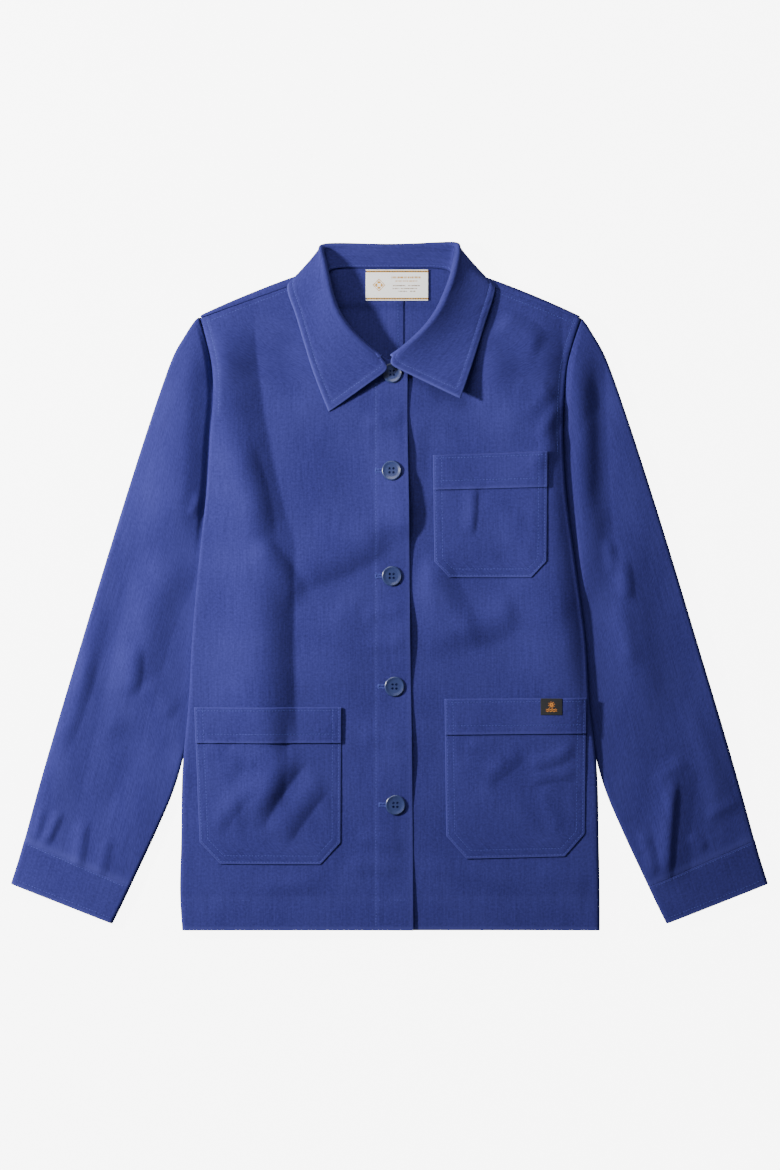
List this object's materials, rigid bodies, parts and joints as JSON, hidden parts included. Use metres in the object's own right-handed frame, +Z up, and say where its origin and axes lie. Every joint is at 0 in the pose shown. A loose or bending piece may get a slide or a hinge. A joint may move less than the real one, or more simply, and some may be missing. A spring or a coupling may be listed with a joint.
{
  "type": "chore jacket",
  "caption": "Button-front chore jacket with turn-down collar, patch pockets and cuffed sleeves, buttoned and laid flat on its back.",
  "frame": {"origin": "on the surface that the jacket lies on, under the middle of its overall width and length", "axes": "+X to the wearer's left across the chest, +Y from the hem to the collar, +Z up from the surface through the back, the sleeves and the front"},
  "size_m": [0.7582, 0.6887, 0.0274],
  "materials": {
    "twill": "washed royal blue cotton twill",
    "button": "moulded dark blue plastic, satin",
    "label": "woven white satin label",
    "tag": "woven black tag"
  },
  "bodies": {
    "root": {"back_left": "twill", "back_right": "twill", "front_left": "twill", "front_right": "twill", "sleeve_left": "twill", "sleeve_right": "twill", "cuff_left": "twill", "cuff_right": "twill", "collar": "twill", "chest_pocket": "twill", "lower_pocket_right": "twill", "lower_pocket_left": "twill", "button_1": "button", "button_2": "button", "button_3": "button", "button_4": "button", "button_5": "button", "neck_label": "label", "pocket_tag": "tag"}
  },
  "joints": []
}
